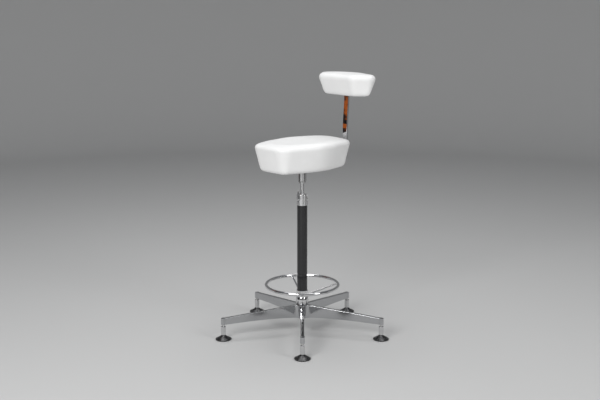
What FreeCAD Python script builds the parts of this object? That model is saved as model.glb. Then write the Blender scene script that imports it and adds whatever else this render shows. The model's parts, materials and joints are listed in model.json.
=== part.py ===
"""Drafting chair: five-leg polished base on levelling glides, foot ring, clamped lift rod,
swivelling seat and a small backrest on a flat bar.

Frame: millimetres, +Z up, the origin on the floor under the column. The sitter faces -Y.
"""
import FreeCAD, Part
import math
import os
import re
import Sketcher
from FreeCAD import Placement, Rotation, Vector

DIMENSIONS = {
    # five-leg base casting: legs slope down from the hub to a round boss over each glide
    "foot_radius": 320.0, "leg_count": 5, "leg_angle": -41.4, "leg_width": 13.4, "web_radius": 20.0,
    "leg_top_centre": 114.5, "leg_top_drop": 29.5, "leg_under": 61.0, "leg_arch": 4.5,
    "boss_radius": 9.0, "socket_floor": 70.0, "casting_round": 1.2, "blank_spare": 5.0,
    # levelling glides: threaded stem with a ball end, sleeve, tilting pad and foot disc
    "pad_radius": 30.5, "pad_rim": 2.5, "pad_lift": 2.0, "pad_neck_radius": 9.0, "pad_top": 17.6,
    "pad_shoulder": 3.5, "foot_disc_radius": 28.0, "foot_disc_height": 5.0, "ball_radius": 6.5,
    "ball_height": 12.0, "ball_gap": 0.3, "neck_hole_radius": 5.6, "stem_radius": 5.0,
    "stem_neck_radius": 4.0, "stem_top": 80.0, "sleeve_radius": 9.3, "sleeve_bottom": 19.8,
    "sleeve_top": 53.4, "sleeve_bevel": 0.7, "thread_depth": 24.0,
    # column, with the plug, bolt and washer that hold it in the casting
    "column_radius": 20.0, "column_wall": 2.0, "column_bottom": 71.0, "column_top": 511.0,
    "plug_height": 30.0, "slip": 0.05, "clearance": 0.3, "base_bolt_radius": 5.0, "base_bolt_head": 7.0,
    "base_bolt_flats": 16.0, "washer_radius": 14.0, "washer_height": 2.0,
    # barrel ferrule, ring hub, foot ring and spokes
    "ferrule_rim": 21.2, "ferrule_belly": 24.8, "ferrule_bottom": 112.8, "ferrule_top": 146.0,
    "ring_hub_radius": 22.5, "ring_hub_top": 171.0, "ring_radius": 141.0, "ring_tube_radius": 6.0,
    "ring_height": 192.0, "spoke_radius": 3.5, "spoke_foot_height": 152.0, "spoke_angle": 55.9,
    # clamp collar, its screw and lever
    "collar_radius": 21.2, "collar_top": 553.0, "collar_round": 1.5, "spigot_length": 36.0,
    "bush_radius": 10.0, "slit_width": 2.0, "slit_floor": 6.0, "clamp_offset": 14.2,
    "clamp_height": 537.0, "clamp_angle": 238.3, "clamp_screw_radius": 3.0, "clamp_half_length": 13.8,
    "clamp_head_radius": 5.2, "clamp_head_length": 6.0, "clamp_face_radius": 11.0,
    "lever_hub_radius": 7.0, "lever_thickness": 7.0, "lever_length": 27.0, "lever_tip_radius": 4.0,
    # lift rod, its thrust ring, pin, clip and guide
    "rod_radius": 7.5, "rod_bottom": 330.0, "rod_top": 645.0, "running_gap": 0.05,
    "guide_height": 25.0, "thrust_radius": 13.5, "thrust_bottom": 597.0, "thrust_top": 602.7,
    "circlip_radius": 10.5, "circlip_groove": 6.6, "circlip_bottom": 640.0, "circlip_height": 1.4,
    "thrust_pin_radius": 1.5, "guide_screw_radius": 3.0, "guide_screw_head": 5.0,
    "guide_screw_length": 20.0,
    # swivel socket, its bush and the seat plate
    "socket_radius": 16.3, "socket_bottom": 604.5, "socket_bush_flange": 15.2,
    "plate_bottom": 647.0, "plate_width": 110.0, "plate_length": 120.0, "plate_corner": 12.0,
    "plate_screw_x": 42.0, "plate_screw_y": 47.0, "screw_radius": 2.5, "screw_head": 4.8,
    "screw_head_height": 3.5, "screw_clearance": 0.2,
    # seat pad, given by its outline at the top, and its board
    "seat_bottom": 652.0, "seat_height": 107.0, "seat_taper": 14.8, "seat_round": 16.1,
    "seat_under_round": 23.0, "seat_front": 190.2, "seat_front_half": 108.4, "seat_front_corner": 62.2,
    "seat_side_half": 134.5, "seat_side_centre": 14.4, "seat_side_corner": 255.5,
    "seat_rear": 204.6, "seat_rear_half": 110.6, "seat_rear_corner": 79.8,
    "board_inset": 52.0, "board_height": 12.0,
    # back bar: forward under the seat, round a bend, up, back and forward again
    "bar_width": 24.0, "bar_thickness": 8.0, "bar_edge": 1.5, "bar_start": 66.0, "bar_rear": 228.0,
    "bar_bend": 46.0, "bar_lean_height": 790.0, "bar_lean": 4.0, "bar_lean_radius": 500.0,
    "bar_straight": 60.0, "bar_nod": 2.0, "bar_nod_radius": 400.0, "bar_end_rise": 36.0,
    "bar_screw_front": 90.0, "bar_screw_rear": 130.0,
    # backrest pad, given by its outline at the top, its board and the slot for the bar
    "back_bottom": 921.9, "back_height": 85.5, "back_taper": 20.9, "back_round": 18.8,
    "back_under_round": 21.0, "back_front": 155.4, "back_front_half": 124.3, "back_front_corner": 50.6,
    "back_side": 281.1, "back_side_half": 153.1, "back_side_corner": 45.3,
    "back_rear": 305.4, "back_rear_corner": 235.0,
    "back_board_front": 216.5, "back_board_thickness": 12.0, "back_board_half": 80.0,
    "back_board_bottom": 934.0, "back_board_top": 984.0, "back_slot_centre": 235.5,
    "back_slot_half": 8.5, "back_slot_top": 968.0, "back_screw_seat": 237.9,
    "back_screw_low": 942.0, "back_screw_high": 955.0, "back_screw_head": 3.0,
}
BAR_LEVEL = "(seat_bottom - bar_thickness / 2 - 0.1)"
SPOKE_STEPS = (0.0, 99.5, 229.5)

doc = FreeCAD.newDocument("drafting_chair")
sheet = doc.addObject("Spreadsheet::Sheet", "Size")
subparts = []


def fill_sheet():
    """Write every driving dimension as a named cell."""
    for row, (name, number) in enumerate(DIMENSIONS.items(), start=1):
        sheet.set(f"A{row}", name)
        sheet.set(f"B{row}", str(number))
        sheet.setAlias(f"B{row}", name)
    doc.recompute()


def bound(expression):
    """The expression with every dimension's name pointing at its cell."""
    return re.sub(r"[a-z_]+", lambda word: f"Size.{word[0]}" if word[0] in DIMENSIONS else word[0],
                  str(expression))


def value(expression):
    """What an expression of the sheet's dimensions comes to."""
    return float(sheet.evalExpression(bound(expression)))


def hold(sketch, kind, geometry, point, expression):
    """Tie one coordinate of a sketch point to an expression."""
    number = value(expression)
    if abs(number) < 1e-9:
        axis = -2 if kind == "DistanceX" else -1
        sketch.addConstraint(Sketcher.Constraint("PointOnObject", geometry, point, axis))
        return
    index = sketch.addConstraint(Sketcher.Constraint(kind, -1, 1, geometry, point, number))
    sketch.setExpression(f"Constraints[{index}]", bound(expression))


def new_body(label):
    body = doc.addObject("PartDesign::Body", label)
    body.Label = label
    subparts.append(body)
    return body


def plane(body, role):
    return next(item for item in body.Origin.OriginFeatures if item.Role == role)


def new_sketch(body, name, role="XY_Plane", lift=None):
    """A sketch on one of the body's own planes, lifted along that plane's normal."""
    sketch = body.newObject("Sketcher::SketchObject", name)
    sketch.AttachmentSupport = [(plane(body, role), "")]
    sketch.MapMode = "FlatFace"
    if lift is not None:
        sketch.setExpression("AttachmentOffset.Base.z", bound(lift))
    return sketch


def polygon(sketch, points):
    """Closed outline through (across, up) expression pairs, every corner held."""
    corners = [Vector(value(across), value(up), 0) for across, up in points]
    first = sketch.GeometryCount
    count = len(corners)
    for index, corner in enumerate(corners):
        sketch.addGeometry(Part.LineSegment(corner, corners[(index + 1) % count]), False)
    for index in range(count):
        following = first + (index + 1) % count
        sketch.addConstraint(Sketcher.Constraint("Coincident", first + index, 2, following, 1))
    for index, (across, up) in enumerate(points):
        hold(sketch, "DistanceX", first + index, 1, across)
        hold(sketch, "DistanceY", first + index, 1, up)


def circle(sketch, across, up, radius):
    """A circle held by its centre and radius."""
    centre = Vector(value(across), value(up), 0)
    index = sketch.addGeometry(Part.Circle(centre, Vector(0, 0, 1), value(radius)), False)
    size = sketch.addConstraint(Sketcher.Constraint("Radius", index, value(radius)))
    sketch.setExpression(f"Constraints[{size}]", bound(radius))
    hold(sketch, "DistanceX", index, 3, across)
    hold(sketch, "DistanceY", index, 3, up)


def belt(sketch, corners):
    """Outline like a belt round circles: (across, up, radius) anticlockwise, all joints tangent."""
    circles = [(Vector(value(x), value(y), 0), value(r)) for x, y, r in corners]
    count = len(circles)
    runs = []
    for index, (centre, radius) in enumerate(circles):
        following, next_radius = circles[(index + 1) % count]
        span = following - centre
        turn = math.acos((radius - next_radius) / span.Length)
        heading = math.atan2(span.y, span.x) - turn
        normal = Vector(math.cos(heading), math.sin(heading), 0)
        runs.append((centre + normal * radius, following + normal * next_radius, heading))
    first = sketch.GeometryCount
    for index, (centre, radius) in enumerate(circles):
        arrival = runs[index - 1][2]
        departure = runs[index][2]
        if departure < arrival:
            departure += 2 * math.pi
        rim = Part.Circle(centre, Vector(0, 0, 1), radius)
        sketch.addGeometry(Part.ArcOfCircle(rim, arrival, departure), False)
        sketch.addGeometry(Part.LineSegment(runs[index][0], runs[index][1]), False)
    for index, (across, up, radius) in enumerate(corners):
        arc = first + 2 * index
        next_arc = first + 2 * ((index + 1) % count)
        sketch.addConstraint(Sketcher.Constraint("Tangent", arc, 2, arc + 1, 1))
        sketch.addConstraint(Sketcher.Constraint("Tangent", arc + 1, 2, next_arc, 1))
        size = sketch.addConstraint(Sketcher.Constraint("Radius", arc, circles[index][1]))
        sketch.setExpression(f"Constraints[{size}]", bound(radius))
        hold(sketch, "DistanceX", arc, 3, across)
        hold(sketch, "DistanceY", arc, 3, up)


def rectangle(sketch, centre_up, half_across, half_up, centre_across="0"):
    """A rectangle about a centre."""
    left, right = f"{centre_across} - ({half_across})", f"{centre_across} + {half_across}"
    low, high = f"{centre_up} - ({half_up})", f"{centre_up} + {half_up}"
    polygon(sketch, [(left, low), (right, low), (right, high), (left, high)])


def pad(body, sketch, length, name="Pad", both_ways=False, downward=False):
    feature = body.newObject("PartDesign::Pad", name)
    feature.Profile = sketch
    feature.setExpression("Length", bound(length))
    feature.Midplane = both_ways
    feature.Reversed = downward
    body.Tip = feature
    return feature


def pocket(body, sketch, depth, name="Pocket", upward=True):
    """Cut a sketch's outline along the plane's normal (upward) or against it."""
    doc.recompute()
    before = body.Shape.Volume
    feature = body.newObject("PartDesign::Pocket", name)
    feature.Profile = sketch
    feature.setExpression("Length", bound(depth))
    feature.Reversed = upward
    body.Tip = feature
    doc.recompute()
    if body.Shape.Volume >= before:
        raise RuntimeError(f"{body.Label}: {name} cuts nothing")
    return feature


def cut_through(body, sketch, length, name):
    """Cut a sketch's outline both ways through the body."""
    doc.recompute()
    before = body.Shape.Volume
    feature = body.newObject("PartDesign::Pocket", name)
    feature.Profile = sketch
    feature.setExpression("Length", bound(length))
    feature.Midplane = True
    body.Tip = feature
    doc.recompute()
    if body.Shape.Volume >= before:
        raise RuntimeError(f"{body.Label}: {name} cuts nothing")


def spin(body, sketch, name="Revolution"):
    """Revolve a half profile about the body's own Z axis."""
    feature = body.newObject("PartDesign::Revolution", name)
    feature.Profile = sketch
    feature.ReferenceAxis = (sketch, ["V_Axis"])
    feature.Angle = 360.0
    body.Tip = feature
    return feature


def turned(label, points):
    """A turned piece from its half profile, given as (radius, height) pairs."""
    body = new_body(label)
    sketch = new_sketch(body, f"{label}_profile", "XZ_Plane")
    polygon(sketch, points)
    spin(body, sketch)
    doc.recompute()
    return body


def tube_profile(inner, outer, bottom, top):
    return [(inner, bottom), (outer, bottom), (outer, top), (inner, top)]


def round_edges(body, radius, wanted, kind="PartDesign::Fillet"):
    """Fillet or chamfer the edges of the body that the test accepts."""
    doc.recompute()
    names = [f"Edge{index}" for index, edge in enumerate(body.Shape.Edges, start=1) if wanted(edge)]
    if not names:
        raise RuntimeError(f"{body.Label}: no edge to round")
    base = body.Tip
    feature = body.newObject(kind, "Round" if kind.endswith("Fillet") else "Bevel")
    feature.Base = (base, names)
    feature.setExpression("Radius" if kind.endswith("Fillet") else "Size", bound(radius))
    body.Tip = feature
    doc.recompute()
    return feature


def polar(body, originals, count, name="Pattern"):
    """Repeat features round the body's Z axis."""
    pattern = body.newObject("PartDesign::PolarPattern", name)
    pattern.Originals = originals
    pattern.Axis = (plane(body, "Z_Axis"), [""])
    pattern.Angle = 360.0
    pattern.setExpression("Occurrences", bound(count))
    body.Tip = pattern
    doc.recompute()
    return pattern


def place(body, base=(0.0, 0.0, 0.0), axis=(0, 0, 1), angle=0.0):
    body.Placement = Placement(Vector(*base), Rotation(Vector(*axis), angle))


def level_edge(height, tolerance=0.01):
    """Test for edges lying flat at a height of the body's own frame."""
    return lambda edge: all(abs(vertex.Z - value(height)) < tolerance for vertex in edge.Vertexes)


# ---------------------------------------------------------------- base

def star_base():
    """Casting with five narrow legs, webs between them, tip bosses and a socket for the column."""
    body = new_body("star_base")
    blank_floor = "leg_under - blank_spare"
    blank_height = "leg_top_centre - leg_under + 2 * blank_spare"
    leg_plan = new_sketch(body, "leg_plan", lift=blank_floor)
    rectangle(leg_plan, "0", "foot_radius / 2", "leg_width / 2", "foot_radius / 2")
    leg = pad(body, leg_plan, blank_height, "Leg")
    polar(body, [leg], "leg_count", "Legs")
    crotch = value("leg_width") / 2 / math.sin(math.pi / value("leg_count"))

    def between_legs(edge):
        upright = abs(edge.Vertexes[0].Z - edge.Vertexes[-1].Z) > 1
        return upright and all(abs(math.hypot(end.X, end.Y) - crotch) < 0.01 for end in edge.Vertexes)
    round_edges(body, "web_radius", between_legs)
    boss_plan = new_sketch(body, "boss_plan", lift=blank_floor)
    circle(boss_plan, "foot_radius", "0", "boss_radius")
    boss = pad(body, boss_plan, blank_height, "Boss")
    polar(body, [boss], "leg_count", "Bosses")
    trim_legs(body)
    round_edges(body, "casting_round", leg_top_edge)
    bore = new_sketch(body, "bore", lift="socket_floor")
    circle(bore, "0", "0", "column_radius + slip")
    pocket(body, bore, "leg_top_centre", "Socket")
    bolt_hole = new_sketch(body, "bolt_hole", lift=blank_floor)
    circle(bolt_hole, "0", "0", "base_bolt_radius + clearance")
    pocket(body, bolt_hole, "socket_floor", "BoltHole")
    thread = new_sketch(body, "thread", lift=blank_floor)
    circle(thread, "foot_radius", "0", "stem_radius + slip")
    cut = pocket(body, thread, "thread_depth + blank_spare", "Thread")
    polar(body, [cut], "leg_count", "Threads")
    place(body, angle=value("leg_angle"))


def leg_top_height(reach):
    """Height of the sloping leg tops at a distance from the column's axis."""
    return f"(leg_top_centre - leg_top_drop * ({reach}) / (foot_radius + boss_radius))"


def leg_top_edge(edge):
    """Test for the long top edges of the legs and the webs between them."""
    ends = [(math.hypot(end.X, end.Y), end.Z) for end in edge.Vertexes]
    on_slope = all(abs(height - value(leg_top_height(reach))) < 0.01 for reach, height in ends)
    return on_slope and all(0 < reach < value("foot_radius") for reach, _ in ends)


def trim_legs(body):
    """Turn away the metal above the sloping leg tops and below their shallow arch."""
    reach = "foot_radius + 2 * boss_radius"
    above = new_sketch(body, "above_legs", "XZ_Plane")
    roof = "leg_top_centre + 2 * blank_spare"
    polygon(above, [("0", "leg_top_centre"), (reach, leg_top_height(reach)), (reach, roof), ("0", roof)])
    below = new_sketch(body, "below_legs", "XZ_Plane")
    polygon(below, [("0", "leg_under - 2 * blank_spare"), (reach, "leg_under - 2 * blank_spare"),
                    (reach, "leg_under"),
                    ("foot_radius - boss_radius", "leg_under"),
                    ("foot_radius * 0.68", "leg_under + leg_arch * 0.8"),
                    ("foot_radius * 0.45", "leg_under + leg_arch"),
                    ("foot_radius * 0.25", "leg_under + leg_arch * 0.7"),
                    ("column_radius * 1.5", "leg_under"), ("0", "leg_under")])
    for sketch, name in ((above, "SlopedTop"), (below, "ArchedUnderside")):
        doc.recompute()
        before = body.Shape.Volume
        groove = body.newObject("PartDesign::Groove", name)
        groove.Profile = sketch
        groove.ReferenceAxis = (sketch, ["V_Axis"])
        groove.Angle = 360.0
        body.Tip = groove
        doc.recompute()
        if body.Shape.Volume >= before:
            raise RuntimeError(f"{name} cuts nothing")


def base_fixing():
    """Plug in the foot of the column, with the bolt and washer that pull it into the casting."""
    plug_top = "column_bottom + 0.5 + plug_height"
    turned("tube_plug", tube_profile("base_bolt_radius + slip", "column_radius - column_wall - slip",
                                     "column_bottom + 0.5", plug_top))
    turned("base_washer", tube_profile("base_bolt_radius + clearance", "washer_radius",
                                       "leg_under - washer_height", "leg_under"))
    bolt = new_body("base_bolt")
    seat = "leg_under - washer_height"
    head = new_sketch(bolt, "head", lift=f"{seat} - base_bolt_head")
    corner = "base_bolt_flats / sqrt(3)"
    polygon(head, [(corner, "0"), (f"{corner} / 2", "base_bolt_flats / 2"),
                   (f"-{corner} / 2", "base_bolt_flats / 2"), (f"-{corner}", "0"),
                   (f"-{corner} / 2", "-base_bolt_flats / 2"), (f"{corner} / 2", "-base_bolt_flats / 2")])
    pad(bolt, head, "base_bolt_head", "Head")
    shank = new_sketch(bolt, "shank", lift=seat)
    circle(shank, "0", "0", "base_bolt_radius")
    pad(bolt, shank, f"{plug_top} - ({seat}) - 4", "Shank")
    doc.recompute()
    round_edges(bolt, "0.8", level_edge(f"{seat} - base_bolt_head"), "PartDesign::Chamfer")


def column_tube():
    """Steel tube that carries the clamp collar, open inside for the lift rod."""
    turned("column_tube", tube_profile("column_radius - column_wall", "column_radius",
                                       "column_bottom", "column_top"))


def hub_ferrule():
    """Barrel-shaped ring that covers the joint of column and casting."""
    body = new_body("hub_ferrule")
    profile = new_sketch(body, "ferrule_profile", "XZ_Plane")
    inner = "column_radius + slip"
    corners = [("ferrule_rim", "ferrule_top"), (inner, "ferrule_top"), (inner, "ferrule_bottom"),
               ("ferrule_rim", "ferrule_bottom")]
    spots = [Vector(value(across), value(up), 0) for across, up in corners]
    for begin, end in zip(spots, spots[1:]):
        profile.addGeometry(Part.LineSegment(begin, end), False)
    belly = Vector(value("ferrule_belly"), (spots[0].y + spots[-1].y) / 2, 0)
    bulge = profile.addGeometry(Part.Arc(spots[-1], belly, spots[0]), False)
    profile.addConstraint(Sketcher.Constraint("Coincident", 0, 2, 1, 1))
    profile.addConstraint(Sketcher.Constraint("Coincident", 1, 2, 2, 1))
    profile.addConstraint(Sketcher.Constraint("Coincident", 2, 2, bulge, 1))
    profile.addConstraint(Sketcher.Constraint("Coincident", bulge, 2, 0, 1))
    for line, (across, up) in enumerate(corners[:3]):
        hold(profile, "DistanceX", line, 1, across)
        hold(profile, "DistanceY", line, 1, up)
    hold(profile, "DistanceX", 2, 2, corners[3][0])
    hold(profile, "DistanceY", 2, 2, corners[3][1])
    swell = "(ferrule_belly - ferrule_rim)"
    sweep = f"(((ferrule_top - ferrule_bottom) / 2)^2 + {swell}^2) / (2 * {swell})"
    size = profile.addConstraint(Sketcher.Constraint("Radius", bulge, value(sweep)))
    profile.setExpression(f"Constraints[{size}]", bound(sweep))
    spin(body, profile)
    doc.recompute()


def foot_ring():
    """Ring hub on the column, the round foot ring and its three sloping spokes."""
    hub = turned("ring_hub", tube_profile("column_radius + slip", "ring_hub_radius",
                                          "ferrule_top", "ring_hub_top"))
    round_edges(hub, "0.8", level_edge("ring_hub_top"), "PartDesign::Chamfer")
    ring = doc.addObject("Part::Torus", "foot_ring")
    ring.Label = "foot_ring"
    ring.setExpression("Radius1", bound("ring_radius"))
    ring.setExpression("Radius2", bound("ring_tube_radius"))
    ring.setExpression("Placement.Base.z", bound("ring_height"))
    subparts.append(ring)
    rise = value("ring_height - spoke_foot_height")
    run = value("ring_radius - ring_hub_radius")
    core = doc.addObject("Part::Cylinder", "spoke_trim")
    core.setExpression("Radius", bound("ring_hub_radius"))
    core.setExpression("Height", bound("ring_height"))
    for number, step in enumerate(SPOKE_STEPS, start=1):
        rod = doc.addObject("Part::Cylinder", f"spoke_blank_{number}")
        rod.setExpression("Radius", bound("spoke_radius"))
        rod.setExpression("Height", bound("sqrt((ring_radius - ring_hub_radius)^2 "
                                          "+ (ring_height - spoke_foot_height)^2) + spoke_radius"))
        slope = math.degrees(math.atan2(run, rise))
        lean = Placement(Vector(value("ring_hub_radius"), 0, value("spoke_foot_height")),
                         Rotation(Vector(0, 1, 0), slope))
        back = Placement(lean.Rotation.multVec(Vector(0, 0, -value("spoke_radius"))), Rotation())
        heading = Placement(Vector(), Rotation(Vector(0, 0, 1), value("spoke_angle") + step))
        rod.Placement = heading * back * lean
        inner = doc.addObject("Part::Cut", f"spoke_inner_{number}")
        inner.Base = rod
        inner.Tool = core
        spoke = doc.addObject("Part::Cut", f"ring_spoke_{number}")
        spoke.Label = f"ring_spoke_{number}"
        spoke.Base = inner
        spoke.Tool = ring
        subparts.append(spoke)


# ---------------------------------------------------------------- glides

def glide(number):
    """One levelling glide: threaded stem with a ball end, sleeve, tilting pad and its foot disc."""
    angle = value("leg_angle") + 360.0 / value("leg_count") * (number - 1)
    reach = value("foot_radius")
    base = (reach * math.cos(math.radians(angle)), reach * math.sin(math.radians(angle)), 0.0)

    stem = turned(f"glide_stem_{number}",
                  [("0", "ball_height"), ("stem_neck_radius", "ball_height"),
                   ("stem_neck_radius", "sleeve_bottom"), ("stem_radius", "sleeve_bottom"),
                   ("stem_radius", "stem_top - 1"), ("stem_radius - 1", "stem_top"), ("0", "stem_top")])
    ball = stem.newObject("PartDesign::AdditiveSphere", "Ball")
    ball.setExpression("Radius", bound("ball_radius"))
    ball.AttachmentSupport = [(plane(stem, "XY_Plane"), "")]
    ball.MapMode = "FlatFace"
    ball.setExpression("AttachmentOffset.Base.z", bound("ball_height"))
    stem.Tip = ball

    sleeve = turned(f"glide_sleeve_{number}",
                    tube_profile("stem_radius + slip", "sleeve_radius", "sleeve_bottom", "sleeve_top"))
    round_edges(sleeve, "sleeve_bevel", lambda edge: edge.Length > 2 * math.pi * value("sleeve_radius") - 1,
                "PartDesign::Chamfer")

    disc_gap = "foot_disc_radius + slip"
    pad_piece = turned(f"glide_pad_{number}",
                       [("0", "foot_disc_height"), (disc_gap, "foot_disc_height"), (disc_gap, "pad_lift"),
                        ("pad_radius", "pad_lift"), ("pad_radius", "pad_lift + pad_rim"),
                        ("pad_neck_radius * 1.5", "pad_top - pad_shoulder"), ("pad_neck_radius", "pad_top"),
                        ("0", "pad_top")])
    cup = pad_piece.newObject("PartDesign::SubtractiveSphere", "Cup")
    cup.setExpression("Radius", bound("ball_radius + ball_gap"))
    cup.AttachmentSupport = [(plane(pad_piece, "XY_Plane"), "")]
    cup.MapMode = "FlatFace"
    cup.setExpression("AttachmentOffset.Base.z", bound("ball_height"))
    pad_piece.Tip = cup
    mouth = new_sketch(pad_piece, "mouth", lift="ball_height")
    circle(mouth, "0", "0", "neck_hole_radius")
    pocket(pad_piece, mouth, "pad_top", "Mouth")

    foot = turned(f"glide_foot_{number}",
                  [("0", "0"), ("foot_disc_radius - 1", "0"), ("foot_disc_radius", "1"),
                   ("foot_disc_radius", "foot_disc_height - slip"), ("0", "foot_disc_height - slip")])
    for body in (stem, sleeve, pad_piece, foot):
        place(body, base, angle=angle)


# ---------------------------------------------------------------- clamp and lift

def clamp_placement(along):
    """Placement of a piece on the clamp screw's line, its own +Z towards the lever."""
    turn = Rotation(Vector(0, 0, 1), value("clamp_angle"))
    lay_down = Rotation(Vector(0, 1, 0), 90)
    spot = turn.multVec(Vector(along, value("clamp_offset"), value("clamp_height")))
    return Placement(spot, turn.multiply(lay_down))


def clamp_collar():
    """Turned collar on the column: spigot below, split head above with two faces for the clamp."""
    body = turned("clamp_collar",
                  [("rod_radius + running_gap", "column_top"), ("bush_radius + slip", "column_top"),
                   ("bush_radius + slip", "column_top - spigot_length"),
                   ("column_radius - column_wall - slip", "column_top - spigot_length"),
                   ("column_radius - column_wall - slip", "column_top"),
                   ("collar_radius", "column_top"), ("collar_radius", "collar_top"),
                   ("rod_radius + running_gap", "collar_top")])
    round_edges(body, "collar_round", lambda edge: level_edge("collar_top")(edge)
                and edge.Length > 2 * math.pi * value("collar_radius") - 1)
    slit = new_sketch(body, "slit", lift="column_top + slit_floor")
    rectangle(slit, "collar_radius / 2 + 4", "slit_width / 2", "collar_radius / 2 + 2")
    pocket(body, slit, "collar_top", "Slit")
    face = new_sketch(body, "clamp_faces", lift="clamp_height - clamp_face_radius")
    for side in ("", "-"):
        middle = f"{side}(clamp_half_length + clamp_face_radius)"
        rectangle(face, "clamp_offset", "clamp_face_radius", "clamp_face_radius", middle)
    pocket(body, face, "collar_top", "ClampFaces")
    bore = new_sketch(body, "clamp_bore", "YZ_Plane")
    circle(bore, "clamp_offset", "clamp_height", "clamp_screw_radius + screw_clearance")
    cut_through(body, bore, "2 * collar_radius", "ClampBore")
    place(body, angle=value("clamp_angle"))


def clamp_screw():
    """Cap screw across the slit, its head on the side away from the lever."""
    screw = turned("clamp_screw",
                   [("0", "-clamp_half_length - clamp_head_length"),
                    ("clamp_head_radius", "-clamp_half_length - clamp_head_length"),
                    ("clamp_head_radius", "-clamp_half_length"), ("clamp_screw_radius", "-clamp_half_length"),
                    ("clamp_screw_radius", "clamp_half_length + lever_thickness"),
                    ("0", "clamp_half_length + lever_thickness")])
    screw.Placement = clamp_placement(0.0)


def clamp_lever():
    """Short lever threaded on the clamp screw, standing up when the clamp is tight."""
    body = new_body("clamp_lever")
    plan = new_sketch(body, "lever_plan", lift="clamp_half_length + clearance")
    belt(plan, [("0", "0", "lever_hub_radius"), ("-lever_length", "0", "lever_tip_radius")])
    pad(body, plan, "lever_thickness", "Arm")
    bore = new_sketch(body, "lever_bore", lift="clamp_half_length - 1")
    circle(bore, "0", "0", "clamp_screw_radius + running_gap")
    pocket(body, bore, "lever_thickness + 5", "Bore")
    thin = new_sketch(body, "lever_relief", lift="clamp_half_length - 1")
    rectangle(thin, "0", "lever_length / 2", "2 * lever_hub_radius",
              "-lever_length / 2 - lever_hub_radius - clearance")
    pocket(body, thin, "lever_thickness / 2", "Relief")
    outer_face = level_edge("clamp_half_length + clearance + lever_thickness")
    round_edges(body, "0.8", lambda edge: outer_face(edge)
                and edge.Length > 2 * math.pi * value("clamp_screw_radius") + 1)
    body.Placement = clamp_placement(0.0)


def lift():
    """Lift rod with its thrust ring, retaining clip and the guide that stops it in the column."""
    bush_bottom = "column_top - spigot_length"
    turned("guide_bush", tube_profile("rod_radius + running_gap", "bush_radius",
                                      bush_bottom, "column_top - running_gap"))
    bore_end = "rod_bottom + guide_screw_length + 5"
    rod = turned("lift_rod",
                 [("guide_screw_radius", bore_end), ("guide_screw_radius", "rod_bottom"),
                  ("rod_radius", "rod_bottom"), ("rod_radius", "circlip_bottom"),
                  ("circlip_groove", "circlip_bottom"), ("circlip_groove", "circlip_bottom + circlip_height"),
                  ("rod_radius", "circlip_bottom + circlip_height"), ("rod_radius", "rod_top - 1"),
                  ("rod_radius - 1", "rod_top"), ("0", "rod_top"), ("0", bore_end)])
    cross = new_sketch(rod, "pin_bore", "YZ_Plane")
    circle(cross, "0", "(thrust_bottom + thrust_top) / 2", "thrust_pin_radius + slip / 2")
    cut_through(rod, cross, "4 * rod_radius", "PinBore")
    ring = turned("thrust_ring", tube_profile("rod_radius + slip / 2", "thrust_radius",
                                              "thrust_bottom", "thrust_top"))
    cross = new_sketch(ring, "pin_bore", "YZ_Plane")
    circle(cross, "0", "(thrust_bottom + thrust_top) / 2", "thrust_pin_radius + slip / 2")
    cut_through(ring, cross, "4 * rod_radius", "PinBore")
    pin = turned("thrust_pin", tube_profile("0", "thrust_pin_radius",
                                            "-thrust_radius + 0.5", "thrust_radius - 0.5"))
    place(pin, (0.0, 0.0, value("(thrust_bottom + thrust_top) / 2")), (0, 1, 0), 90)
    turned("top_circlip", tube_profile("circlip_groove + slip", "circlip_radius",
                                       "circlip_bottom + 0.05", "circlip_bottom + circlip_height - 0.05"))
    turned("rod_guide", tube_profile("guide_screw_radius + slip", "column_radius - column_wall - running_gap",
                                     "rod_bottom - guide_height", "rod_bottom"))
    head = "rod_bottom - guide_height - guide_screw_head"
    turned("guide_screw",
           [("0", head), ("2 * guide_screw_head", head), ("2 * guide_screw_head", "rod_bottom - guide_height"),
            ("guide_screw_radius - slip", "rod_bottom - guide_height"),
            ("guide_screw_radius - slip", "rod_bottom + guide_screw_length"),
            ("0", "rod_bottom + guide_screw_length")])


# ---------------------------------------------------------------- seat

def swivel_socket():
    """Socket under the seat with the flanged bush that turns on the rod."""
    turned("socket_bush",
           [("rod_radius + running_gap", "thrust_top + clearance"),
            ("socket_bush_flange", "thrust_top + clearance"),
            ("socket_bush_flange", "socket_bottom"), ("bush_radius", "socket_bottom"),
            ("bush_radius", "circlip_bottom - 1.5"), ("rod_radius + running_gap", "circlip_bottom - 1.5")])
    socket = turned("seat_socket",
                    [("bush_radius + slip", "socket_bottom"), ("socket_radius", "socket_bottom"),
                     ("socket_radius", "plate_bottom"), ("circlip_radius + 1.5", "plate_bottom"),
                     ("circlip_radius + 1.5", "circlip_bottom - 1.5"),
                     ("bush_radius + slip", "circlip_bottom - 1.5")])
    round_edges(socket, "1", lambda edge: level_edge("socket_bottom")(edge)
                and edge.Length > 2 * math.pi * value("socket_radius") - 1, "PartDesign::Chamfer")


def plate_screw_spots():
    return [(f"{x}plate_screw_x", f"{y}plate_screw_y") for x in ("", "-") for y in ("", "-")]


def seat_plate():
    """Steel plate that joins the socket to the seat board."""
    body = new_body("seat_plate")
    plan = new_sketch(body, "plate_plan", lift="plate_bottom")
    half_x, half_y = "(plate_width / 2 - plate_corner)", "(plate_length / 2 - plate_corner)"
    belt(plan, [(half_x, f"-{half_y}", "plate_corner"), (half_x, half_y, "plate_corner"),
                (f"-{half_x}", half_y, "plate_corner"), (f"-{half_x}", f"-{half_y}", "plate_corner")])
    pad(body, plan, "seat_bottom - plate_bottom")
    holes = new_sketch(body, "plate_holes", lift="plate_bottom")
    for x, y in plate_screw_spots():
        circle(holes, x, y, "screw_radius + screw_clearance")
    pocket(body, holes, "seat_bottom - plate_bottom + 1", "Holes")


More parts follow.
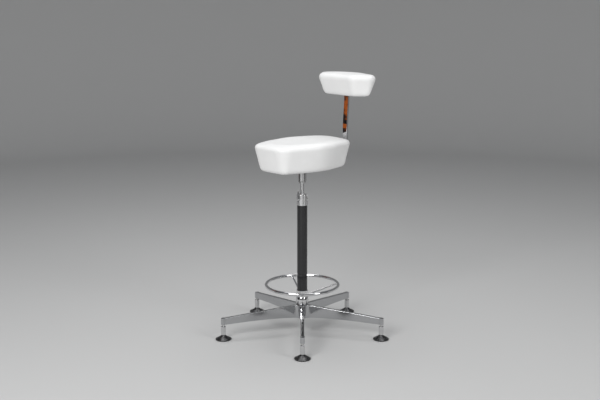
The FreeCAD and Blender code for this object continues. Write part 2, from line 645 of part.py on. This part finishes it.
def screw_set(label, spots, under_head, tip, radius, head_radius, head_height):
    """Identical upright screws, heads down, as one group of separate solids."""
    pieces = []
    for index, (x, y) in enumerate(spots):
        pieces.append(screw_solid(f"{label}_{index}", x, y, under_head, tip, radius, head_radius,
                                  head_height))
    group = doc.addObject("Part::Compound", label)
    group.Label = label
    group.Links = pieces
    subparts.append(group)
    return group


def screw_solid(name, x, y, under_head, tip, radius, head_radius, head_height):
    """A screw made of a head and a shank at one spot."""
    head = doc.addObject("Part::Cylinder", f"{name}_head")
    head.setExpression("Radius", bound(head_radius))
    head.setExpression("Height", bound(head_height))
    head.setExpression("Placement.Base.z", bound(f"{under_head} - ({head_height})"))
    shank = doc.addObject("Part::Cylinder", f"{name}_shank")
    shank.setExpression("Radius", bound(radius))
    shank.setExpression("Height", bound(f"{tip} - ({under_head}) + 1"))
    shank.setExpression("Placement.Base.z", bound(f"{under_head} - 1"))
    for piece in (head, shank):
        piece.setExpression("Placement.Base.x", bound(x))
        piece.setExpression("Placement.Base.y", bound(y))
    screw = doc.addObject("Part::Fuse", name)
    screw.Base = head
    screw.Tool = shank
    return screw


def seat_outline(inset):
    """Plan of the seat as circles for a belt, drawn in by an inset."""
    front = "-seat_front + seat_front_corner"
    front_x = "(seat_front_half - seat_front_corner)"
    side_x = "(seat_side_half - seat_side_corner)"
    rear_x = "(seat_rear_half - seat_rear_corner)"
    rear = "seat_rear - seat_rear_corner"
    front_r, side_r = f"seat_front_corner - {inset}", f"seat_side_corner - {inset}"
    rear_r = f"seat_rear_corner - {inset}"
    return [(front_x, front, front_r), (side_x, "seat_side_centre", side_r), (rear_x, rear, rear_r),
            (f"-{rear_x}", rear, rear_r), (f"-{side_x}", "seat_side_centre", side_r),
            (f"-{front_x}", front, front_r)]


def bar_screw_spots():
    return [("0", "bar_screw_front"), ("0", "bar_screw_rear")]


def seat_board():
    """Plywood board in the underside of the seat cushion, with its pilot holes."""
    body = new_body("seat_board")
    plan = new_sketch(body, "board_plan", lift="seat_bottom")
    belt(plan, seat_outline("board_inset"))
    pad(body, plan, "board_height")
    holes = new_sketch(body, "board_holes", lift="seat_bottom - 1")
    for x, y in plate_screw_spots() + bar_screw_spots():
        circle(holes, x, y, "screw_radius + slip")
    pocket(body, holes, "board_height + 2", "PilotHoles")


def cushion(label, outline, bottom, depth, taper, top_round, under_round):
    """Pad that narrows downwards, with rounded top and bottom edges."""
    body = new_body(label)
    plan = new_sketch(body, f"{label}_plan", lift=f"{bottom} + {depth}")
    belt(plan, outline)
    block = pad(body, plan, depth, "Block", downward=True)
    block.setExpression("TaperAngle", bound(f"-{taper}"))
    doc.recompute()
    round_edges(body, top_round, level_edge(f"{bottom} + {depth}"))
    round_edges(body, under_round, level_edge(bottom))
    return body


def seat_cushion():
    """Seat pad with the recess that takes the board."""
    body = cushion("seat_cushion", seat_outline("0"), "seat_bottom", "seat_height", "seat_taper",
                   "seat_round", "seat_under_round")
    recess = new_sketch(body, "board_recess", lift="seat_bottom - 1")
    belt(recess, seat_outline("(board_inset - slip)"))
    pocket(body, recess, "board_height + 1 + slip", "Recess")


# ---------------------------------------------------------------- backrest

def back_bar():
    """Flat bar: forward under the seat, a round bend up, a slight lean back, then forward again."""
    body = new_body("back_bar")
    level = value(BAR_LEVEL)
    rear, bend = value("bar_rear"), value("bar_bend")
    lean, lean_radius = math.radians(value("bar_lean")), value("bar_lean_radius")
    nod, nod_radius = math.radians(value("bar_nod")), value("bar_nod_radius")
    bend_start = Vector(rear - bend, level, 0)
    bend_end = Vector(rear, level + bend, 0)
    rise_end = Vector(rear, value("bar_lean_height"), 0)
    lean_end = rise_end + Vector(1 - math.cos(lean), math.sin(lean), 0) * lean_radius
    nod_start = lean_end + Vector(math.sin(lean), math.cos(lean), 0) * value("bar_straight")
    nod_centre = nod_start - Vector(math.cos(lean), -math.sin(lean), 0) * nod_radius
    nod_end = nod_centre + Vector(math.cos(nod), math.sin(nod), 0) * nod_radius
    tip = nod_end + Vector(-math.sin(nod), math.cos(nod), 0) * value("bar_end_rise")
    route = new_sketch(body, "bar_route", "YZ_Plane")

    def run(begin, end):
        route.addGeometry(Part.LineSegment(begin, end), False)

    def arc(centre, radius, begin, end):
        rim = Part.Circle(centre, Vector(0, 0, 1), radius)
        route.addGeometry(Part.ArcOfCircle(rim, begin, end), False)
    run(Vector(value("bar_start"), level, 0), bend_start)
    arc(Vector(rear - bend, level + bend, 0), bend, -math.pi / 2, 0)
    run(bend_end, rise_end)
    arc(rise_end + Vector(lean_radius, 0, 0), lean_radius, math.pi - lean, math.pi)
    run(lean_end, nod_start)
    arc(nod_centre, nod_radius, -lean, nod)
    run(nod_end, tip)
    section = new_sketch(body, "bar_section", "XZ_Plane")
    section.setExpression("AttachmentOffset.Base.z", bound("-bar_start"))
    half_x = "(bar_width / 2 - bar_edge)"
    low = f"{BAR_LEVEL} - (bar_thickness / 2 - bar_edge)"
    high = f"{BAR_LEVEL} + (bar_thickness / 2 - bar_edge)"
    belt(section, [(half_x, low, "bar_edge"), (half_x, high, "bar_edge"),
                   (f"-{half_x}", high, "bar_edge"), (f"-{half_x}", low, "bar_edge")])
    doc.recompute()
    pipe = body.newObject("PartDesign::AdditivePipe", "Bar")
    pipe.Profile = section
    pipe.Spine = route
    body.Tip = pipe
    under_holes = new_sketch(body, "seat_screw_holes", lift=f"{BAR_LEVEL} - bar_thickness")
    for x, y in bar_screw_spots():
        circle(under_holes, x, y, "screw_radius + screw_clearance")
    pocket(body, under_holes, "2 * bar_thickness", "SeatScrewHoles")
    cross_holes = new_sketch(body, "back_screw_holes", "XZ_Plane")
    for x, z in back_screw_spots():
        circle(cross_holes, x, z, "screw_radius + screw_clearance")
    cut_through(body, cross_holes, "4 * bar_rear", "BackScrewHoles")


def back_screw_spots():
    return [("0", "back_screw_low"), ("0", "back_screw_high")]


def back_board():
    """Upright plywood board inside the backrest, screwed to the top of the bar."""
    body = new_body("back_board")
    plan = new_sketch(body, "board_plan", lift="back_board_bottom")
    middle = "back_board_front + back_board_thickness / 2"
    rectangle(plan, middle, "back_board_half", "back_board_thickness / 2")
    pad(body, plan, "back_board_top - back_board_bottom")
    holes = new_sketch(body, "pilot_holes", "XZ_Plane")
    for x, z in back_screw_spots():
        circle(holes, x, z, "screw_radius + slip")
    cut_through(body, holes, "4 * bar_rear", "PilotHoles")


def back_screws():
    """The two screws that hold the board against the bar, heads to the rear."""
    group = screw_set("back_screws", back_screw_spots(), "-back_screw_seat",
                      "-back_board_front - 2", "screw_radius", "screw_head", "back_screw_head")
    group.Placement = Placement(Vector(), Rotation(Vector(1, 0, 0), 90))


def back_outline(inset):
    """Plan of the backrest as circles for a belt: narrow in front, wide and bowed behind."""
    front_x = "(back_front_half - back_front_corner)"
    side_x = "(back_side_half - back_side_corner)"
    front = "back_front + back_front_corner"
    side = "back_side - back_side_corner"
    rear = "back_rear - back_rear_corner"
    front_r, side_r = f"back_front_corner - {inset}", f"back_side_corner - {inset}"
    rear_r = f"back_rear_corner - {inset}"
    return [(front_x, front, front_r), (side_x, side, side_r), ("0", rear, rear_r),
            (f"-{side_x}", side, side_r), (f"-{front_x}", front, front_r)]


def back_cushion():
    """Backrest pad with the hollow that takes the board and the slot for the bar."""
    body = cushion("back_cushion", back_outline("0"), "back_bottom", "back_height", "back_taper",
                   "back_round", "back_under_round")
    hollow = new_sketch(body, "board_hollow", lift="back_board_bottom - slip")
    middle = "back_board_front + back_board_thickness / 2"
    rectangle(hollow, middle, "back_board_half + slip", "back_board_thickness / 2 + slip")
    pocket(body, hollow, "back_board_top - back_board_bottom + 2 * slip", "BoardHollow")
    slot = new_sketch(body, "bar_slot", lift="back_bottom - 1")
    rectangle(slot, "back_slot_centre", "bar_width / 2 + 1", "back_slot_half")
    pocket(body, slot, "back_slot_top - back_bottom + 1", "BarSlot")


def write_parts():
    """Check every object and piece, then write one file per piece."""
    doc.recompute()
    failed = [item.Name for item in doc.Objects if {"Invalid", "Error"} & set(item.State)]
    if failed:
        raise RuntimeError(f"failed objects: {failed}")
    for piece in subparts:
        if piece.Shape.isNull() or not piece.Shape.isValid() or not piece.Shape.Solids:
            raise RuntimeError(f"{piece.Label}: no valid solid")
    os.makedirs("parts", exist_ok=True)
    for piece in subparts:
        piece.Shape.exportStep(f"parts/{piece.Label}.step")
        print(f"{piece.Label:18s} {len(piece.Shape.Solids)} solid(s) {piece.Shape.Volume / 1000:9.2f} cm3")


fill_sheet()
star_base()
base_fixing()
column_tube()
hub_ferrule()
foot_ring()
for number in range(1, int(value("leg_count")) + 1):
    glide(number)
clamp_collar()
clamp_screw()
clamp_lever()
lift()
swivel_socket()
seat_plate()
screw_set("seat_screws", plate_screw_spots(), "plate_bottom", "seat_bottom + board_height - 1",
          "screw_radius", "screw_head", "screw_head_height")
seat_board()
seat_cushion()
back_bar()
screw_set("bar_screws", bar_screw_spots(), f"{BAR_LEVEL} - bar_thickness / 2",
          "seat_bottom + board_height - 1", "screw_radius", "screw_head", "screw_head_height")
back_board()
back_screws()
back_cushion()
write_parts()
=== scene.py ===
"""Looks of the drafting chair: soft upholstery, metal finishes, studio and camera."""
import json
import math

import bmesh
import bpy
import numpy
from mathutils import Matrix, Vector, noise


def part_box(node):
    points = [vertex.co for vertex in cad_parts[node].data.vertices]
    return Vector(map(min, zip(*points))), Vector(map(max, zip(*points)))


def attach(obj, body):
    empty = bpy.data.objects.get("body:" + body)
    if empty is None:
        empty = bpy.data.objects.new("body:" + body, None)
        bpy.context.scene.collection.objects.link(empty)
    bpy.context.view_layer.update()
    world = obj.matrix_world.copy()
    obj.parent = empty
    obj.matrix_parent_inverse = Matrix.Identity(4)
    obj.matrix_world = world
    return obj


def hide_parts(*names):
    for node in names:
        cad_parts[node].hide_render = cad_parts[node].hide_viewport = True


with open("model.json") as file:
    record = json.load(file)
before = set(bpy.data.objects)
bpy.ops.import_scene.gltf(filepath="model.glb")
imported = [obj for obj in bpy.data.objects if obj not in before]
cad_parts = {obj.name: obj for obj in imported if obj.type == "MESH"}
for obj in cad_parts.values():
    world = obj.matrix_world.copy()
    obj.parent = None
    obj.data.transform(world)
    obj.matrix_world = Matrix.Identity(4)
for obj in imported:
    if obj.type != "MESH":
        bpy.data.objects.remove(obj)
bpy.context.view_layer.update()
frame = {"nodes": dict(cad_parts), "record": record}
NODES = frame["nodes"]

# ---------------------------------------------------------------- material helpers


class Graph:
    """Builds one node material with short calls."""

    def __init__(self, name):
        self.material = bpy.data.materials.new(name)
        self.material.use_nodes = True
        self.tree = self.material.node_tree
        self.shader = self.tree.nodes["Principled BSDF"]
        self.place = self.add("ShaderNodeTexCoord").outputs["Object"]

    def add(self, kind, **settings):
        node = self.tree.nodes.new(kind)
        for key, setting in settings.items():
            setattr(node, key, setting)
        return node

    def link(self, source, target):
        self.tree.links.new(source, target)

    def set(self, **values):
        """Fix shader sockets that are the same all over."""
        for key, number in values.items():
            self.shader.inputs[key.replace("_", " ")].default_value = number

    def stretched(self, scale):
        mapping = self.add("ShaderNodeMapping")
        mapping.inputs["Scale"].default_value = scale
        self.link(self.place, mapping.inputs["Vector"])
        return mapping.outputs["Vector"]

    def noise(self, scale, detail=3.0, roughness=0.5, vector=None):
        node = self.add("ShaderNodeTexNoise")
        node.inputs["Scale"].default_value = scale
        node.inputs["Detail"].default_value = detail
        node.inputs["Roughness"].default_value = roughness
        self.link(vector or self.place, node.inputs["Vector"])
        return node.outputs["Fac"]

    def cells(self, scale):
        node = self.add("ShaderNodeTexVoronoi", feature="F1")
        node.inputs["Scale"].default_value = scale
        self.link(self.place, node.inputs["Vector"])
        return node.outputs["Distance"]

    def spread(self, source, low, high, start=0.0, end=1.0):
        """Map a 0 to 1 value onto a range."""
        node = self.add("ShaderNodeMapRange", clamp=True)
        node.inputs["From Min"].default_value = start
        node.inputs["From Max"].default_value = end
        node.inputs["To Min"].default_value = low
        node.inputs["To Max"].default_value = high
        self.link(source, node.inputs["Value"])
        return node.outputs["Result"]

    def combine(self, operation, first, second):
        node = self.add("ShaderNodeMath", operation=operation)
        for socket, item in zip(node.inputs, (first, second)):
            if isinstance(item, (int, float)):
                socket.default_value = item
            else:
                self.link(item, socket)
        return node.outputs["Value"]

    def blend_colours(self, factor, first, second):
        node = self.add("ShaderNodeMix", data_type="RGBA")
        node.inputs["A"].default_value = (*first, 1.0)
        node.inputs["B"].default_value = (*second, 1.0)
        self.link(factor, node.inputs["Factor"])
        return node.outputs["Result"]

    def bump(self, height, strength, distance):
        node = self.add("ShaderNodeBump")
        node.inputs["Strength"].default_value = strength
        node.inputs["Distance"].default_value = distance
        self.link(height, node.inputs["Height"])
        self.link(node.outputs["Normal"], self.shader.inputs["Normal"])

    def colour_from(self, socket):
        self.link(socket, self.shader.inputs["Base Color"])

    def roughness_from(self, socket):
        self.link(socket, self.shader.inputs["Roughness"])


# ---------------------------------------------------------------- materials

def white_upholstery():
    """Soft white leathercloth: fine pebble grain, faint mottling and a low sheen."""
    graph = Graph("white_upholstery")
    grain = graph.cells(520.0)
    fine = graph.noise(1100.0, 2.0)
    mottle = graph.noise(7.0, 4.0, 0.6)
    handled = graph.spread(mottle, 0.0, 1.0, 0.32, 0.68)
    graph.colour_from(graph.blend_colours(handled, (0.785, 0.785, 0.780), (0.825, 0.825, 0.822)))
    graph.roughness_from(graph.spread(graph.noise(45.0), 0.44, 0.54))
    height = graph.combine("ADD", grain, graph.combine("MULTIPLY", fine, 0.5))
    graph.bump(height, 0.3, 0.00035)
    graph.set(Specular_IOR_Level=0.4, Sheen_Weight=0.12, Sheen_Roughness=0.5)
    return graph.material


def plated(name, colour, low, high, streaks, wave=0.00002, ripple=26.0):
    """Bright plated or polished metal with faint streaks, dimples and smears."""
    graph = Graph(name)
    along = graph.noise(1.0, 3.0, 0.6, graph.stretched(streaks))
    smear = graph.noise(14.0, 4.0, 0.65)
    graph.colour_from(graph.blend_colours(smear, tuple(c * 0.94 for c in colour), colour))
    graph.roughness_from(graph.spread(graph.combine("MULTIPLY", along, smear), low, high, 0.12, 0.42))
    graph.bump(graph.noise(ripple, 2.0), 0.35, wave)
    graph.set(Metallic=1.0)
    return graph.material


def polished_aluminium():
    """Hand-polished casting: slightly wavy mirror with fine lengthwise buffing marks."""
    return plated("polished_aluminium", (0.50, 0.505, 0.515), 0.08, 0.22, (60.0, 60.0, 900.0), 0.00015)


def chrome_plate():
    return plated("chrome_plate", (0.74, 0.74, 0.75), 0.025, 0.08, (300.0, 300.0, 60.0))


def satin_chrome():
    """Turned and satin-plated sleeve: fine drawn marks along it that spread its highlights."""
    return plated("satin_chrome", (0.66, 0.66, 0.665), 0.08, 0.22, (900.0, 900.0, 30.0))


def collar_aluminium():
    """Turned aluminium: rings of fine tool marks round the axis."""
    return plated("collar_aluminium", (0.74, 0.74, 0.745), 0.18, 0.36, (40.0, 40.0, 2400.0))


def black_enamel():
    """Glossy black enamel with faint orange peel and dust-fine speckle."""
    graph = Graph("black_enamel")
    speck = graph.noise(220.0, 2.0)
    graph.colour_from(graph.blend_colours(graph.spread(speck, 0.0, 1.0, 0.45, 0.7),
                                          (0.006, 0.006, 0.007), (0.012, 0.012, 0.013)))
    graph.roughness_from(graph.spread(graph.noise(18.0), 0.16, 0.24))
    graph.bump(graph.noise(160.0, 2.0), 0.25, 0.00006)
    graph.set(Coat_Weight=0.25, Coat_Roughness=0.12)
    return graph.material


def dark_glide():
    """Black-chromed steel of the glide pads, scuffed towards grey."""
    graph = Graph("black_glide")
    scuff = graph.noise(70.0, 5.0, 0.7)
    graph.colour_from(graph.blend_colours(graph.spread(scuff, 0.0, 1.0, 0.5, 0.72),
                                          (0.06, 0.06, 0.062), (0.17, 0.17, 0.17)))
    graph.roughness_from(graph.spread(scuff, 0.18, 0.38, 0.3, 0.7))
    graph.bump(scuff, 0.2, 0.00008)
    graph.set(Metallic=0.85)
    return graph.material


def moulded(name, dark, light, low, high, grain):
    """Moulded rubber or nylon with a fine matt texture."""
    graph = Graph(name)
    texture = graph.noise(grain, 3.0)
    graph.colour_from(graph.blend_colours(texture, dark, light))
    graph.roughness_from(graph.spread(texture, low, high))
    graph.bump(texture, 0.3, 0.00008)
    return graph.material


def foot_rubber():
    return moulded("foot_rubber", (0.014, 0.014, 0.014), (0.03, 0.03, 0.03), 0.7, 0.9, 500.0)


def black_nylon():
    return moulded("black_nylon", (0.02, 0.02, 0.021), (0.032, 0.032, 0.033), 0.4, 0.55, 700.0)


def zinc_steel():
    """Zinc-plated steel with pale patches."""
    graph = Graph("zinc_steel")
    patch = graph.cells(260.0)
    graph.colour_from(graph.blend_colours(patch, (0.62, 0.62, 0.60), (0.50, 0.50, 0.51)))
    graph.roughness_from(graph.spread(patch, 0.26, 0.42))
    graph.bump(graph.noise(500.0), 0.2, 0.00003)
    graph.set(Metallic=1.0)
    return graph.material


def bright_steel():
    return plated("bright_steel", (0.68, 0.68, 0.68), 0.18, 0.34, (50.0, 50.0, 1600.0))


def spring_steel():
    return plated("spring_steel", (0.26, 0.26, 0.27), 0.25, 0.4, (80.0, 80.0, 900.0))


def plywood():
    """Birch plywood: long grain on the faces, thin glue lines on the edges."""
    graph = Graph("plywood")
    grain = graph.noise(1.0, 5.0, 0.6, graph.stretched((90.0, 6.0, 90.0)))
    layers = graph.add("ShaderNodeTexWave", wave_type="BANDS", bands_direction="Z", wave_profile="SAW")
    layers.inputs["Scale"].default_value = 130.0
    graph.link(graph.place, layers.inputs["Vector"])
    mixed = graph.combine("MULTIPLY", grain, graph.spread(layers.outputs["Fac"], 0.75, 1.0))
    graph.colour_from(graph.blend_colours(graph.spread(mixed, 0.0, 1.0, 0.25, 0.7),
                                          (0.36, 0.23, 0.12), (0.66, 0.50, 0.32)))
    graph.roughness_from(graph.spread(grain, 0.6, 0.75))
    graph.bump(grain, 0.25, 0.0002)
    return graph.material


MAKERS = {
    "polished_aluminium": polished_aluminium, "chrome_plate": chrome_plate,
    "collar_aluminium": collar_aluminium, "black_enamel": black_enamel, "black_glide": dark_glide,
    "foot_rubber": foot_rubber, "black_nylon": black_nylon, "zinc_steel": zinc_steel,
    "bright_steel": bright_steel, "spring_steel": spring_steel, "plywood": plywood,
    "white_upholstery": white_upholstery,
}


def finish_nodes():
    """Give every CAD node the finish of its material slot; the turned sleeves are satin."""
    finishes = {name: make() for name, make in MAKERS.items()}
    satin = satin_chrome()
    for part in frame["record"]["subparts"]:
        node = NODES[part["node"]]
        is_turned = part["node"].startswith("glide_sleeve") or part["node"] in ("seat_socket", "lift_rod")
        node.data.materials.clear()
        node.data.materials.append(satin if is_turned else finishes[part["material_slot"]])
    return finishes


# ---------------------------------------------------------------- upholstery

VOXEL = 0.005
SIM_FRAMES = 20
PRESSURE = 4.0
COVER_STIFFNESS = 25.0
BENDING_STIFFNESS = 3.0
STAPLED_SHARE = 0.25        # lowest part of a pad's height, held still while it swells
TAUT_ROUNDS = 120           # smoothing passes that take the folds out of the swell
UNEVEN = 0.0009             # hand-made unevenness of the padding
UNEVEN_SCALE = 14.0
RELAX_ROUNDS = 4
UNDERSIDE_WRAP = 0.0006     # cover's thickness below the board
WRAP_REACH = 0.035
SEAT_SHRINK = 0.004
SEAT_CAP = 0.008            # sets most of the seat's crown: the pressure alone would lift it 28 mm
BACKREST_SHRINK = 0.003
BACKREST_CAP = 0.006        # above anything that the backrest reaches


def pad_blank(name, node, shrink):
    """Closed convex blank of the pad's CAD solid, remeshed evenly and drawn in a little to swell."""
    source = NODES[node].data
    build = bmesh.new()
    build.from_mesh(source)
    hull = bmesh.ops.convex_hull(build, input=build.verts)
    spare = list(set(hull["geom_interior"]) | set(hull["geom_unused"]))
    bmesh.ops.delete(build, geom=[item for item in spare if isinstance(item, bmesh.types.BMVert)],
                     context="VERTS")
    kept = {item for item in hull["geom"] if isinstance(item, bmesh.types.BMFace)}
    bmesh.ops.delete(build, geom=[face for face in build.faces if face not in kept], context="FACES_ONLY")
    mesh = bpy.data.meshes.new(name)
    build.to_mesh(mesh)
    build.free()
    piece = bpy.data.objects.new(name, mesh)
    bpy.context.scene.collection.objects.link(piece)
    remesh = piece.modifiers.new("Remesh", "REMESH")
    remesh.mode = "VOXEL"
    remesh.voxel_size = VOXEL
    apply_modifiers(piece)
    for corner, normal in [(v, v.normal.copy()) for v in piece.data.vertices]:
        corner.co -= normal * shrink
    return piece


def wrap_under(piece, bottom):
    """Bring the flat underside down over the board, fading out up the sides."""
    lowest = min(corner.co.z for corner in piece.data.vertices)
    drop = lowest - (bottom - UNDERSIDE_WRAP)
    for corner in piece.data.vertices:
        fade = max(0.0, 1.0 - (corner.co.z - lowest) / WRAP_REACH)
        corner.co.z -= drop * fade


def apply_modifiers(piece):
    """Replace the piece's mesh by what its modifiers make of it."""
    graph = bpy.context.evaluated_depsgraph_get()
    made = bpy.data.meshes.new_from_object(piece.evaluated_get(graph), depsgraph=graph)
    piece.modifiers.clear()
    old = piece.data
    piece.data = made
    bpy.data.meshes.remove(old)


def swell(piece, cap, hold_below):
    """Press the cover out from inside; keep its outward movement, smoothed and cut off at cap."""
    start = [corner.co.copy() for corner in piece.data.vertices]
    facing = [corner.normal.copy() for corner in piece.data.vertices]
    pinned = piece.vertex_groups.new(name="stapled")
    pinned.add([i for i, spot in enumerate(start) if spot.z < hold_below], 1.0, "REPLACE")
    cloth = piece.modifiers.new("Cover", "CLOTH")
    cloth.settings.effector_weights.gravity = 0.0
    cloth.settings.vertex_group_mass = "stapled"
    cloth.settings.use_pressure = True
    cloth.settings.uniform_pressure_force = PRESSURE
    cloth.settings.tension_stiffness = COVER_STIFFNESS
    cloth.settings.compression_stiffness = COVER_STIFFNESS
    cloth.settings.bending_stiffness = BENDING_STIFFNESS
    cloth.point_cache.frame_start = 1
    cloth.point_cache.frame_end = SIM_FRAMES
    for frame_number in range(1, SIM_FRAMES + 1):
        bpy.context.scene.frame_set(frame_number)
    apply_modifiers(piece)
    moves = numpy.array([tuple(corner.co - spot) for corner, spot in zip(piece.data.vertices, start)])
    outward = numpy.array([tuple(normal) for normal in facing])
    rise = (moves * outward).sum(axis=1)
    pairs = numpy.array([tuple(edge.vertices) for edge in piece.data.edges])
    count = 1 + numpy.bincount(pairs.ravel(), minlength=len(rise))
    for _ in range(TAUT_ROUNDS):
        total = rise.copy()
        numpy.add.at(total, pairs[:, 0], rise[pairs[:, 1]])
        numpy.add.at(total, pairs[:, 1], rise[pairs[:, 0]])
        rise = total / count
    rise = numpy.clip(rise, 0.0, cap)
    for corner, spot, normal, amount in zip(piece.data.vertices, start, facing, rise):
        uneven = UNEVEN * noise.noise(spot * UNEVEN_SCALE)
        corner.co = spot + normal * (float(amount) + uneven)
    bpy.context.scene.frame_set(1)


def settle(piece):
    """Relax the cover, then give it one subdivision."""
    relax = piece.modifiers.new("Relax", "SMOOTH")
    relax.factor = 0.5
    relax.iterations = RELAX_ROUNDS
    finer = piece.modifiers.new("Finer", "SUBSURF")
    finer.levels = 1
    apply_modifiers(piece)
    for face in piece.data.polygons:
        face.use_smooth = True


def soft_pad(name, node, finish, shrink, cap):
    piece = pad_blank(name, node, shrink)
    low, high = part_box(node)
    swell(piece, cap, low[2] + STAPLED_SHARE * (high[2] - low[2]))
    settle(piece)
    wrap_under(piece, low[2])
    piece.data.materials.clear()
    piece.data.materials.append(finish)
    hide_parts(node)
    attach(piece, "seat")
    return piece


# ---------------------------------------------------------------- studio

VIEW_AZIMUTH = math.radians(48.4)
CAMERA_DISTANCE = 3.958
CAMERA_HEIGHT = 1.321
CAMERA_PITCH = math.radians(11.30)
CAMERA_LENS = 62.74
CAMERA_YAW = math.radians(0.125)
CAMERA_SENSOR = 36.0

FLOOR_COLOUR = (0.52, 0.52, 0.517)
ROOM_RADIUS = 4.7
COVE_RADIUS = 1.3
ROOM_HEIGHT = 4.6
ROOM_SIDES = 96
COVE_STEPS = 12
WELD_REACH = 0.0001


def plain_finish(name, colour, rough=0.85):
    graph = Graph(name)
    graph.set(Base_Color=(*colour, 1.0), Roughness=rough)
    return graph.material


def room():
    """Round pale studio: a flat floor that coves up into a wall on every side."""
    profile = [(0.0, 0.0), (1.5, 0.0), (3.0, 0.0), (ROOM_RADIUS, 0.0)]
    for step in range(1, COVE_STEPS + 1):
        turn = math.pi / 2 * step / COVE_STEPS
        profile.append((ROOM_RADIUS + COVE_RADIUS * math.sin(turn), COVE_RADIUS * (1 - math.cos(turn))))
    profile.append((ROOM_RADIUS + COVE_RADIUS, ROOM_HEIGHT))
    build = bmesh.new()
    chain = [build.verts.new((reach, 0.0, height)) for reach, height in profile]
    edges = [build.edges.new(pair) for pair in zip(chain, chain[1:])]
    bmesh.ops.spin(build, geom=chain + edges, cent=(0, 0, 0), axis=(0, 0, 1), steps=ROOM_SIDES,
                   angle=2 * math.pi, use_merge=True)
    bmesh.ops.remove_doubles(build, verts=build.verts, dist=WELD_REACH)
    mesh = bpy.data.meshes.new("studio_room")
    build.to_mesh(mesh)
    build.free()
    for face in mesh.polygons:
        face.use_smooth = True
    mesh.materials.append(plain_finish("studio_room", FLOOR_COLOUR))
    piece = bpy.data.objects.new("studio_room", mesh)
    bpy.context.scene.collection.objects.link(piece)


def studio_spot(across, away, height):
    """A point of the studio given as the camera sees it: to the right, away from it, and up."""
    return Matrix.Rotation(VIEW_AZIMUTH, 4, "Z") @ Vector((across, away, height))


def aimed(item, spot, target):
    item.location = spot
    item.rotation_euler = (target - spot).to_track_quat("-Z", "Y").to_euler()
    bpy.context.scene.collection.objects.link(item)


def softbox(name, spot, target, width, height, power):
    """An area lamp aimed at a point and unseen by the camera."""
    data = bpy.data.lights.new(name, "AREA")
    data.shape = "RECTANGLE"
    data.size = width
    data.size_y = height
    data.energy = power
    lamp = bpy.data.objects.new(name, data)
    lamp.visible_camera = False
    aimed(lamp, studio_spot(*spot), studio_spot(*target))


def flag(name, spot, target, width, height, finish):
    """A card that only shows in reflections, as the black flags of a product studio do."""
    mesh = bpy.data.meshes.new(name)
    across, up = width / 2, height / 2
    mesh.from_pydata([(-across, -up, 0), (across, -up, 0), (across, up, 0), (-across, up, 0)], [],
                     [(0, 1, 2, 3)])
    mesh.materials.append(finish)
    card = bpy.data.objects.new(name, mesh)
    card.visible_camera = False
    card.visible_diffuse = False
    card.visible_shadow = False
    aimed(card, studio_spot(*spot), studio_spot(*target))


def warm_card():
    """Card of dark and amber patches whose reflection warms the bright bar."""
    graph = Graph("warm_card")
    patches = graph.noise(15.0, 1.0)
    graph.colour_from(graph.blend_colours(graph.spread(patches, 0.0, 1.0, 0.47, 0.53),
                                          (0.004, 0.004, 0.006), (0.62, 0.14, 0.015)))
    graph.set(Roughness=0.9)
    return graph.material


def lights():
    world = bpy.data.worlds.new("studio")
    world.use_nodes = True
    background = world.node_tree.nodes["Background"]
    background.inputs["Color"].default_value = (0.92, 0.95, 1.0, 1.0)
    background.inputs["Strength"].default_value = 0.22
    bpy.context.scene.world = world
    middle = (0.0, 0.0, 0.55)
    softbox("key", (-1.7, -3.3, 2.3), middle, 1.9, 1.6, 116.0)
    softbox("fill", (2.7, -2.3, 1.9), middle, 1.2, 1.8, 42.0)
    softbox("top", (0.0, 0.5, 3.7), (0.0, 0.0, 0.4), 2.6, 2.6, 62.0)
    black = plain_finish("flag_black", (0.004, 0.004, 0.004))
    flag("flag_left", (-2.4, -0.6, 0.9), (0.0, 0.0, 0.6), 1.6, 1.8, black)
    flag("flag_right", (2.4, -0.9, 0.9), (0.0, 0.0, 0.6), 1.4, 1.8, black)
    flag("flag_warm", (-0.62, 0.20, 0.745), (0.17, 0.15, 0.85), 0.30, 0.42, warm_card())


# ---------------------------------------------------------------- camera

def camera():
    data = bpy.data.cameras.new("camera")
    data.lens = CAMERA_LENS
    data.sensor_width = CAMERA_SENSOR
    eye = bpy.data.objects.new("camera", data)
    eye.location = (CAMERA_DISTANCE * math.sin(VIEW_AZIMUTH), -CAMERA_DISTANCE * math.cos(VIEW_AZIMUTH),
                    CAMERA_HEIGHT)
    eye.rotation_euler = (math.pi / 2 - CAMERA_PITCH, 0.0, VIEW_AZIMUTH + CAMERA_YAW)
    bpy.context.scene.collection.objects.link(eye)
    bpy.context.scene.camera = eye


FINISHES = finish_nodes()
soft_pad("seat_upholstery", "seat_cushion", FINISHES["white_upholstery"], SEAT_SHRINK, SEAT_CAP)
soft_pad("backrest_upholstery", "back_cushion", FINISHES["white_upholstery"], BACKREST_SHRINK,
         BACKREST_CAP)
room()
lights()
camera()
bpy.context.scene.view_settings.view_transform = "Standard"
